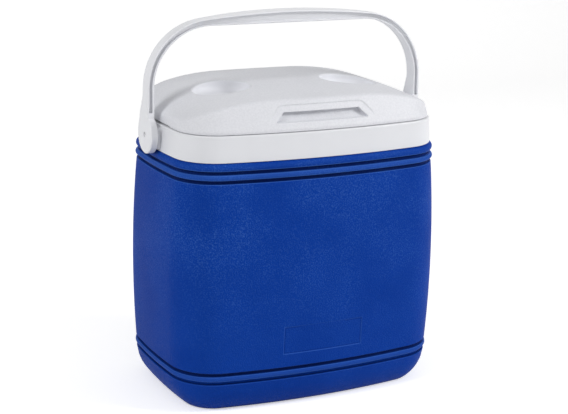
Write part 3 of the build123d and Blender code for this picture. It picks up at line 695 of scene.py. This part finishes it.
def triangulate(border, holes, pitch):
    """Flat triangles inside a border and round its holes, with points on a grid."""
    rows = [border, *holes]
    flat = [Vector(point) for row in rows for point in row]
    edges = []
    for row in rows:
        first = sum(len(before) for before in rows[:rows.index(row)])
        edges += [(first + step, first + (step + 1) % len(row)) for step in range(len(row))]
    low_x, high_x = min(x for x, _ in border), max(x for x, _ in border)
    low_y, high_y = min(y for _, y in border), max(y for _, y in border)
    for column in range(int((high_x - low_x) / pitch) + 1):
        for row in range(int((high_y - low_y) / pitch) + 1):
            x = low_x + pitch * (column + 0.5)
            y = low_y + pitch * (row + 0.5 * (column % 2))
            free = within(x, y, border) and not any(within(x, y, hole) for hole in holes)
            if free and not any(near(x, y, line, 0.6 * pitch) for line in rows):
                flat.append(Vector((x, y)))
    inside_border = 1
    flat, _, triangles, _, _, _ = delaunay_2d_cdt(flat, edges, [], inside_border, 1e-5)
    middles = [sum((flat[place] for place in triangle), Vector((0, 0))) / 3 for triangle in triangles]
    return flat, [triangle for triangle, middle in zip(triangles, middles)
                  if not any(within(*middle, hole) for hole in holes)]


def extend(more_points, more_faces):
    """Adds points and faces to the lid."""
    first = len(points)
    points.extend(more_points)
    faces.extend([[first + place for place in face] for face in more_faces])


CUP_STEPS = 64
rims = []
for side in (1, -1):
    turns = [math.tau * step / CUP_STEPS for step in range(CUP_STEPS)]
    rims.append([(side * CUP_X + (CUP_R + CUP_RIM) * math.cos(turn), (CUP_R + CUP_RIM) * math.sin(turn))
                 for turn in turns])
    loops = []
    for share in (0, 0.2, 0.4, 0.6, 0.8, 1.0):
        angle = share * math.pi / 2
        radius = CUP_R + CUP_RIM * (1 - math.sin(angle))
        drop = CUP_RIM * (1 - math.cos(angle))
        loops.append([(side * CUP_X + radius * math.cos(turn), radius * math.sin(turn), crown(*rim) - drop)
                      for turn, rim in zip(turns, rims[-1])])
    for share in (0.08, 0.2, 0.4, 0.6, 0.8, 0.92, 1.0):
        angle = share * math.pi / 2
        radius = CUP_R - 0.2 - CUP_ROUND * (1 - math.cos(angle))
        loop = []
        for turn, rim in zip(turns, rims[-1]):
            rise = min(CUP_ROUND, crown(*rim) - CUP_RIM - CUP_FLOOR_Z - 0.3)
            loop.append((side * CUP_X + radius * math.cos(turn), radius * math.sin(turn),
                         CUP_FLOOR_Z + rise * (1 - math.sin(angle))))
        loops.append(loop)
    for radius in (27, 20, 12, 5):
        loops.append([(side * CUP_X + radius * math.cos(turn), radius * math.sin(turn), CUP_FLOOR_Z)
                      for turn in turns])
    centre = [(side * CUP_X, 0, CUP_FLOOR_Z)]
    last = (len(loops) - 1) * CUP_STEPS
    fan = [[last + step, last + (step + 1) % CUP_STEPS, last + CUP_STEPS] for step in range(CUP_STEPS)]
    extend([point for loop in loops for point in loop] + centre, loop_faces(len(loops), CUP_STEPS) + fan)

border = [tuple(point) for point in inner_ring]
flat, triangles = triangulate(border, rims, 8.0)
extend([on_crown(point) for point in flat], triangles)

MOUTH = ((55.0, 401.2), (-55.0, 401.2), (-68.0, 388.6), (68.0, 388.6))
MOUTH_LIP = 0.9
MOUTH_ROUND = 0.9
POCKET_LOW_DEPTH = 5.0
POCKET_TOP_DEPTH = 9.0
DISH = ((61.5, 411.4), (-61.5, 411.4), (-86.0, 384.6), (86.0, 384.6))
DISH_ROUND = 6.0
DISH_DEPTH = 1.3
DISH_SOFT = 2.6


def trapezoid(corners, grow, radius):
    """A four-cornered line, grown on every side, with round corners and points along its edges."""
    (top_x, top_z), _, _, (low_x, low_z) = corners
    slope = (low_x - top_x) / (top_z - low_z)
    side = grow * math.hypot(1, slope)
    top_x += side - slope * grow
    low_x += side + slope * grow
    top_z += grow
    low_z -= grow
    corners = ((top_x, top_z), (-top_x, top_z), (-low_x, low_z), (low_x, low_z))
    return rounded_frame(corners, radius, (16, 2, 16, 2))


def dish(x, z):
    """How far the shallow dish round the finger pocket lies behind the band."""
    (top_x, top_z), _, _, (low_x, low_z) = DISH
    slope = (low_x - top_x) / (top_z - low_z)
    side = (top_x + slope * (top_z - z) - abs(x)) / math.hypot(1, slope)
    below = top_z - z
    inside_gap = min(side, below)
    if side < DISH_ROUND and below < DISH_ROUND:
        inside_gap = DISH_ROUND - math.hypot(DISH_ROUND - side, DISH_ROUND - below)
    return DISH_DEPTH * ease(inside_gap, 0, DISH_SOFT) * ease(z, low_z, 0.4 * low_z + 0.6 * top_z)


def on_band(x, z, depth=0.0):
    """A point of the band's front face, with the dish in it, or that far behind it."""
    return Vector((x, front_y(x, z) + dish(x, z) + depth, z))


DISH_INSETS = (-0.35, -0.15, 0, 0.3, 0.6, 0.9, 1.2, 1.5, 1.8, 2.1, 2.6)
frames = [trapezoid(DISH, -inset, DISH_ROUND - inset) for inset in DISH_INSETS]
mouth = trapezoid(MOUTH, MOUTH_LIP, MOUTH_ROUND + MOUTH_LIP)
for share in (0.2, 0.4, 0.6, 0.8):
    frames.append([tuple(Vector(start).lerp(Vector(end), share))
                   for start, end in zip(frames[len(DISH_INSETS) - 1], mouth)])
loops = [[on_band(x, z) for x, z in line] for line in frames]
for share in (0, 0.2, 0.4, 0.6, 0.8, 1.0):
    angle = share * math.pi / 2
    grow = MOUTH_LIP * (1 - math.sin(angle))
    depth = MOUTH_LIP * (1 - math.cos(angle))
    loops.append([on_band(x, z, depth) for x, z in trapezoid(MOUTH, grow, MOUTH_ROUND + grow)])
mouth_low = MOUTH[2][1]
mouth_rise = MOUTH[0][1] - mouth_low
for inset, share in ((0.1, 0.12), (0.4, 0.5), (0.7, 0.86), (1.0, 0.96), (1.5, 1.0)):
    loop = []
    for x, z in trapezoid(MOUTH, -inset, max(0.2, MOUTH_ROUND - inset)):
        rise = (z - mouth_low) / mouth_rise
        ramp = POCKET_LOW_DEPTH + (POCKET_TOP_DEPTH - POCKET_LOW_DEPTH) * rise
        loop.append(on_band(x, z, MOUTH_LIP + share * ramp))
    loops.append(loop)
end = [[(len(loops) - 1) * len(mouth) + step for step in range(len(mouth))]]
extend([point for loop in loops for point in loop], loop_faces(len(loops), len(mouth)) + end)

rows = range(PATCH_LOW, PATCH_HIGH + 1)
columns = range(-PATCH_COLUMNS, PATCH_COLUMNS + 1)
border = [rings[PATCH_LOW][column % count] for column in columns]
border += [rings[row][PATCH_COLUMNS] for row in rows[1:]]
border += [rings[PATCH_HIGH][column % count] for column in reversed(columns[:-1])]
border += [rings[row][-PATCH_COLUMNS] for row in reversed(rows[1:-1])]
flat_border = [(point.x, point.z) for point in border]
flat, triangles = triangulate(flat_border, [frames[0]], 5.0)
edge_spots = {(round(x, 3), round(z, 3)): point for (x, z), point in zip(flat_border, border)}
extend([edge_spots.get((round(x, 3), round(z, 3)), on_band(x, z)) for x, z in flat], triangles)

# Grained polypropylene in white: matt, with the wall's leathery grain drawn at 2.4 mm so that it shows,
# and the cups left smoother and painted paler than the top round them: painted light in the recesses.
lid_plastic, tree = new_tree("grained_white_polypropylene")
place = add(tree, "TexCoord").outputs["Object"]
grain = add(tree, "TexNoise", {"Vector": place, "Scale": 1 / 0.0024, "Detail": 2.0, "Roughness": 0.55})
pores = add(tree, "TexVoronoi", {"Vector": place, "Scale": 1 / 0.0019})
broad = add(tree, "TexNoise", {"Vector": place, "Scale": 1 / 0.08, "Detail": 2.0})
relief = add(tree, "Math", {0: grain.outputs["Fac"], 1: pores.outputs["Distance"]}, operation="ADD")
tint = add(tree, "Mix", {0: broad.outputs["Fac"], 6: linear("D9DADF"), 7: linear("E0E1E6")},
           data_type="RGBA")
fleck = add(tree, "MapRange", {"Value": grain.outputs["Fac"], 1: 0.35, 2: 0.65, 3: 0.0, 4: 0.5})
speck = add(tree, "Mix", {0: fleck.outputs[0], 6: tint.outputs[2], 7: linear("CFD0D6")}, data_type="RGBA")
recess = add(tree, "Attribute", attribute_name="smooth_painted_light_cups")
# The cups are painted paler than the top, painted light in the recesses, and their grain is made smoother.
cup_painted_light = add(tree, "Mix", {0: recess.outputs["Fac"], 6: speck.outputs[2], 7: linear("E6E7EC")},
            data_type="RGBA")
smooth = add(tree, "MapRange", {"Value": recess.outputs["Fac"], 1: 0.0, 2: 1.0, 3: 0.35, 4: 0.05})
bump = add(tree, "Bump", {"Height": relief.outputs[0], "Strength": smooth.outputs[0], "Distance": 0.0004})
gloss = add(tree, "MapRange", {"Value": pores.outputs["Distance"], 1: 0.1, 2: 0.7, 3: 0.45, 4: 0.6})
skin = add(tree, "BsdfPrincipled", {"Base Color": cup_painted_light.outputs[2], "Roughness": gloss.outputs[0],
                                    "Normal": bump.outputs[0], "IOR": 1.49})
add(tree, "OutputMaterial", {"Surface": skin.outputs[0]})
lid = make_piece("lid_top", points, faces, lid_plastic, "lid", "white_plastic", "lid_shell")
cup_smooth_light = lid.data.attributes.new("smooth_painted_light_cups", "FLOAT", "POINT")
for index, vertex in enumerate(lid.data.vertices):
    from_centre = math.hypot(abs(vertex.co.x) * 1000 - CUP_X, vertex.co.y * 1000)
    cup_smooth_light.data[index].value = 1 - ease(from_centre, CUP_R - 1, CUP_R + CUP_RIM)
skin_depth = lid.modifiers.new("wall thickness", "SOLIDIFY")
skin_depth.thickness = 0.0026

# ---------------------------------------------------------------- lid gasket and vial pad
# The moulded ring that seals the lid on the collar, and the slit sponge under the lid that grips
# vials. The foam filling and the white pan between them are finished with the tub's.
# Thermoplastic rubber: dark grey, dull, with a fine moulded bloom.
rubber, tree = new_tree("grey_thermoplastic_rubber")
place = add(tree, "TexCoord").outputs["Object"]
bloom = add(tree, "TexNoise", {"Vector": place, "Scale": 1 / 0.012, "Detail": 5.0})
grain = add(tree, "TexNoise", {"Vector": place, "Scale": 1 / 0.0007, "Detail": 2.0})
tint = add(tree, "Mix", {0: bloom.outputs["Fac"], 6: linear("3E4043"), 7: linear("55585C")},
           data_type="RGBA")
bump = add(tree, "Bump", {"Height": grain.outputs["Fac"], "Strength": 0.4, "Distance": 0.0002})
skin = add(tree, "BsdfPrincipled", {"Base Color": tint.outputs[2], "Roughness": 0.72,
                                    "Normal": bump.outputs[0], "IOR": 1.52})
add(tree, "OutputMaterial", {"Surface": skin.outputs[0]})
coat(rubber, "lid_gasket")

# Open-cell polyether sponge: soft pale yellow, full of fine pores, with no gloss.
sponge, tree = new_tree("pale_yellow_sponge")
place = add(tree, "TexCoord").outputs["Object"]
cells = add(tree, "TexVoronoi", {"Vector": place, "Scale": 1 / 0.0013})
cloud = add(tree, "TexNoise", {"Vector": place, "Scale": 1 / 0.02, "Detail": 3.0})
hole = add(tree, "MapRange", {"Value": cells.outputs["Distance"], 1: 0.1, 2: 0.5, 3: 0.0, 4: 1.0})
tint = add(tree, "Mix", {0: cloud.outputs["Fac"], 6: linear("E2D9A6"), 7: linear("EEE6BE")},
           data_type="RGBA")
# The pores are painted darker with B5A872: painted shade in their hollows.
pores_painted_dark = add(tree, "Mix", {0: hole.outputs[0], 6: linear("B5A872"), 7: tint.outputs[2]}, data_type="RGBA")
bump = add(tree, "Bump", {"Height": hole.outputs[0], "Strength": 0.8, "Distance": 0.0005})
skin = add(tree, "BsdfPrincipled", {"Base Color": pores_painted_dark.outputs[2], "Roughness": 0.95,
                                    "Normal": bump.outputs[0], "IOR": 1.4, "Sheen Weight": 0.2})
add(tree, "OutputMaterial", {"Surface": skin.outputs[0]})
coat(sponge, "vial_pad")

# ---------------------------------------------------------------- handle
# The white bail: one moulding with a deep channel down each face, a wider grip on top, and a round
# eye at each foot that snaps over the pivot pin.
ARM_X = 204.9
ARM_T = 9.3
GRIP_T = 16.2
BEND_R = 90.0
BEND_Z = 422.0
BEND_X = ARM_X - BEND_R
HANDLE_TOP = 519.4
ARM_FRONT_W = 11.5
ARM_REAR_W = 8.7
BEND_HALF_W = 10.0
GRIP_HALF_W = 13.5
RIB_T = 2.5
CHANNEL_DEPTH = 5.5
CHANNEL_FOOT_Z = 391.0
EYE_R = 25.5
EYE_TAPER = 52.5
EYE_FACE_X = 205.6
EYE_BACK_X = 195.5
EYE_ROUND = 1.8
EYE_HOLE_R = 3.6
EDGE_ROUND = 1.3
PIN_BORE_R = 5.05
BORE_END_X = 203.3
FACE_FADE = (392.0, 404.0)


def bow_turn(inset, thicker):
    """Radii of the bail's top bow and bend, and the turn at which they meet, for one edge line."""
    bend_r = BEND_R - inset
    rise = HANDLE_TOP - inset - thicker - BEND_Z
    bow_r = (BEND_X**2 + rise**2 - bend_r**2) / (2 * (rise - bend_r))
    return bow_r, bend_r, math.atan2(BEND_X, bow_r - rise)


foot_turns = (3, 6, 10, 15, 21, 28, 36, 45, 56, 70, 85)
foot_heights = [PIVOT_Z - EYE_R * math.cos(math.radians(turn)) for turn in foot_turns]
foot_heights += [364.0, 368.0, 372.0, 375.5, 378.5, 381.0, 383.0, 384.3, 384.9, 385.6, 387.0, 389.0, 390.6,
                 391.2, 391.8, 392.4, 393.0, 393.6, 394.4, 396.0, 398.0, 400.0, 402.0, 404.0, 406.0, 408.0,
                 411.0, 414.4, 418.0]


def edge_line(inset, thicker):
    """Half of one edge line of the bail, from the right foot up to the middle of the grip."""
    bow_r, bend_r, meet = bow_turn(inset, thicker)
    proud = 0 if inset else EYE_FACE_X - ARM_X
    line = [(ARM_X - inset + proud * (1 - ease(z, *FACE_FADE)), z) for z in foot_heights]
    for step in range(17):
        turn = (math.pi / 2 - meet) * step / 16
        line.append((BEND_X + bend_r * math.cos(turn), BEND_Z + bend_r * math.sin(turn)))
    centre_z = HANDLE_TOP - inset - thicker - bow_r
    for step in range(1, 19):
        turn = meet * (1 - step / 18)
        line.append((bow_r * math.sin(turn), centre_z + bow_r * math.cos(turn)))
    return line


def half_width(x, z, side, inset=0.0):
    """Half of the bail's width, drawn in by inset, where its outer face is at x and z.

    Side is 1 behind and -1 in front: only behind does the arm widen into the eye by a long slant.
    """
    up = z - PIVOT_Z
    arm = ARM_REAR_W if side > 0 else ARM_FRONT_W
    if up > EYE_TAPER:
        low = arm + (BEND_HALF_W - arm) * ease(z, PIVOT_Z + EYE_TAPER, BEND_Z + 50)
        high = GRIP_HALF_W + (BEND_HALF_W - GRIP_HALF_W) * ease(x, 55, 150)
        return (low if x > BEND_X + 30 else high) - inset
    slant = math.asin((EYE_R - arm) / EYE_TAPER)
    radius = EYE_R - inset
    wide = math.sqrt(max(0.0, radius**2 - up**2))
    if side > 0 and up > radius * math.sin(slant):
        wide = (radius - up * math.sin(slant)) / math.cos(slant)
    return max(wide, arm - inset) if up > 0 else wide


def round_edge(outer, side, radius):
    """Points (depth below the face, distance from the middle) over one rounded edge of the bail."""
    room = max(0.0, EYE_R - max(0.0, PIVOT_Z - outer[1]))
    line = []
    for turn in (-7, 0, 30, 60, 90, 97):
        angle = math.radians(min(90, max(0, turn)))
        inset = radius * (1 - math.cos(angle)) + (0.12 * radius if turn > 90 else 0)
        depth = radius * (1 - math.sin(angle)) + (0.12 * radius if turn < 0 else 0)
        if inset > room:
            inset = room
            depth = radius - math.sqrt(radius**2 - (radius - min(room, radius)) ** 2)
        line.append((depth, half_width(*outer, side, inset)))
    return line


def channel(wide, thick, open_share):
    """Points (depth, distance from the middle) down one side of the bail, through its channel."""
    if open_share < 0.02:
        return [(RIB_T + (thick - 2 * RIB_T) * step / 19, wide) for step in range(20)]
    web = wide - CHANNEL_DEPTH * open_share
    lip = 0.5 * min(1.0, 4 * open_share)
    line = soften([(0, wide), (RIB_T, wide, lip), (RIB_T, web, lip), (thick - RIB_T, web, lip),
                   (thick - RIB_T, wide, lip), (thick, wide)], steps=2, closed=False)
    return line[1:-1]


def bail_section(outer, inner):
    """Closed section of the bail between its outer and inner edge lines."""
    start = Vector((outer[0], 0, outer[1]))
    across = Vector((inner[0], 0, inner[1])) - start
    thick = across.length
    across.normalize()
    in_foot = outer[1] < PIVOT_Z + EYE_TAPER
    outer_round = EDGE_ROUND + (EYE_ROUND - EDGE_ROUND) * (1 - ease(outer[1], 380, 388))
    open_share = ease(outer[1], CHANNEL_FOOT_Z, CHANNEL_FOOT_Z + 2.2) if in_foot else 1.0
    line = []
    for side in (1, -1):
        face = round_edge(outer, side, outer_round)[::-1]
        back = [(thick - depth, y) for depth, y in round_edge(outer, side, EDGE_ROUND)]
        half = [(depth, side * y) for depth, y in
                (*face, *channel(half_width(*outer, side), thick, open_share), *back)]
        line += half if side > 0 else half[::-1]
    return [start + across * depth + Vector((0, y, 0)) for depth, y in line]


outer_half = edge_line(0, 0)
inner_half = edge_line(ARM_T, GRIP_T - ARM_T)
right = [bail_section(outer, inner) for outer, inner in zip(outer_half, inner_half)]
left = [[Vector((-point.x, point.y, point.z)) for point in section] for section in reversed(right[:-1])]
loops = right + left
points = [point for loop in loops for point in loop]
faces = loop_faces(len(loops), len(loops[0]))
faces += [list(range(len(loops[0]))), [len(points) - 1 - place for place in range(len(loops[0]))]]

# Polished nylon: smooth bright satin white with long soft highlights and faint hairline scuffs.
handle_plastic, tree = new_tree("satin_white_nylon")
place = add(tree, "TexCoord").outputs["Object"]
flow = add(tree, "TexNoise", {"Vector": place, "Scale": 1 / 0.04, "Detail": 2.0})
scuff = add(tree, "TexNoise", {"Vector": place, "Scale": 1 / 0.003, "Detail": 5.0, "Distortion": 1.2})
tint = add(tree, "Mix", {0: flow.outputs["Fac"], 6: linear("DFE0E4"), 7: linear("E5E6EA")},
           data_type="RGBA")
gloss = add(tree, "MapRange", {"Value": scuff.outputs["Fac"], 1: 0.3, 2: 0.7, 3: 0.28, 4: 0.4})
bump = add(tree, "Bump", {"Height": scuff.outputs["Fac"], "Strength": 0.12, "Distance": 0.0002})
skin = add(tree, "BsdfPrincipled", {"Base Color": tint.outputs[2], "Roughness": gloss.outputs[0],
                                    "Normal": bump.outputs[0], "IOR": 1.53})
add(tree, "OutputMaterial", {"Surface": skin.outputs[0]})
drill_section = ((EYE_BACK_X - 4, 0.0), (EYE_BACK_X - 4, PIN_BORE_R), (BORE_END_X, PIN_BORE_R),
                 (BORE_END_X, EYE_HOLE_R), (EYE_FACE_X + 4, EYE_HOLE_R), (EYE_FACE_X + 4, 0.0))
turns = [math.tau * step / 40 for step in range(40)]
drills = []
for side in (1, -1):
    rings = [[(side * x, radius * math.cos(turn), PIVOT_Z + radius * math.sin(turn)) for turn in turns]
             for x, radius in drill_section]
    drills.append(([point for ring in rings for point in ring], loop_faces(len(rings), len(turns))))
make_piece("bail_handle", *combine((points, faces), drills, "DIFFERENCE"), handle_plastic,
           "handle", "handle_plastic", "handle")

# ---------------------------------------------------------------- floor and backdrop
# A pale matt board under the object, in metres, that sweeps up behind it in one curve.
FLOOR_FRONT = 9.0
FLOOR_BACK = 1.9
FLOOR_SIDE = 9.0
FLOOR_DROP = 0.0004
SWEEP_R = 0.7
WALL_H = 2.2
FLOOR_LIFT = 0.45
profile = [(-FLOOR_FRONT, 0.0)]
for step in range(17):
    turn = math.pi / 2 * step / 16
    profile.append((FLOOR_BACK + SWEEP_R * math.sin(turn), SWEEP_R * (1 - math.cos(turn))))
profile.append((FLOOR_BACK + SWEEP_R, WALL_H))
mesh = bpy.data.meshes.new("studio_sweep")
corners = [(side * FLOOR_SIDE, y, z - FLOOR_DROP) for y, z in profile for side in (-1, 1)]
strips = [[2 * step, 2 * step + 1, 2 * step + 3, 2 * step + 2] for step in range(len(profile) - 1)]
mesh.from_pydata(corners, [], strips)
mesh.shade_smooth()
sweep = bpy.data.objects.new("studio_sweep", mesh)
bpy.context.scene.collection.objects.link(sweep)

# Matt paper: near white, so that only the object's soft shadow shows on it.
paper, tree = new_tree("matt_white_paper")
place = add(tree, "TexCoord").outputs["Object"]
fibre = add(tree, "TexNoise", {"Vector": place, "Scale": 1 / 0.004, "Detail": 3.0})
tint = add(tree, "Mix", {0: fibre.outputs["Fac"], 6: linear("F0F0F0"), 7: linear("F4F4F4")},
           data_type="RGBA")
matt = add(tree, "BsdfDiffuse", {"Color": tint.outputs[2]})
rays = add(tree, "LightPath")
seen = add(tree, "Math", {0: rays.outputs["Is Camera Ray"], 1: rays.outputs["Is Glossy Ray"]},
           operation="MAXIMUM")
lift = add(tree, "Math", {0: seen.outputs[0], 1: FLOOR_LIFT}, operation="MULTIPLY")
glow = add(tree, "Emission", {"Color": (1, 1, 1, 1), "Strength": lift.outputs[0]})
both = add(tree, "AddShader", {0: matt.outputs[0], 1: glow.outputs[0]})
add(tree, "OutputMaterial", {"Surface": both.outputs[0]})
sweep.data.materials.append(paper)

# ---------------------------------------------------------------- studio light and camera
# An even white room and two broad lamps: one high on the left, whose soft shadow of the handle falls
# across the lid, and one a little lower on the right.
ROOM_LIGHT = 0.45
LAMP_SIZE = 0.7
LAMP_REACH = 2.4
LAMPS = (("left_lamp", -70, 37, 19.5), ("right_lamp", 52, 30, 28.0))
world = bpy.data.worlds.new("white_room")
bpy.context.scene.world = world
world.use_nodes = True
tree = world.node_tree
tree.nodes.clear()
rays = add(tree, "LightPath")
seen = add(tree, "Math", {0: rays.outputs["Is Camera Ray"], 1: ROOM_LIGHT}, operation="MAXIMUM")
sky = add(tree, "Background", {"Color": (1, 1, 1, 1), "Strength": seen.outputs[0]})
add(tree, "OutputWorld", {"Surface": sky.outputs[0]})

for name, azimuth, elevation, power in LAMPS:
    turn, rise = math.radians(azimuth), math.radians(elevation)
    lamp = bpy.data.lights.new(name, "AREA")
    lamp.size = LAMP_SIZE
    lamp.energy = power
    holder = bpy.data.objects.new(name, lamp)
    away = Vector((math.sin(turn) * math.cos(rise), -math.cos(turn) * math.cos(rise), math.sin(rise)))
    holder.location = Vector((0, 0, 0.25)) + LAMP_REACH * away
    holder.rotation_euler = away.to_track_quat("Z", "Y").to_euler()
    bpy.context.scene.collection.objects.link(holder)

AZIMUTH = math.radians(-26.09)
ELEVATION = math.radians(14.635)
ROLL = math.radians(1.151)
DISTANCE = 2.1141
back = Vector((math.sin(AZIMUTH) * math.cos(ELEVATION), -math.cos(AZIMUTH) * math.cos(ELEVATION),
               math.sin(ELEVATION)))
camera = bpy.data.objects.new("camera", bpy.data.cameras.new("camera"))
camera.data.sensor_width = 36
camera.data.lens = 96.01
camera.data.shift_x = 0.00166
camera.data.shift_y = -0.0016
turned = back.to_track_quat("Z", "Y").to_matrix().to_4x4() @ Matrix.Rotation(ROLL, 4, "Z")
camera.matrix_world = Matrix.Translation(Vector((0, 0, 0.2445)) + back * DISTANCE) @ turned
bpy.context.scene.collection.objects.link(camera)
bpy.context.scene.camera = camera
bpy.context.scene.view_settings.view_transform = "Standard"
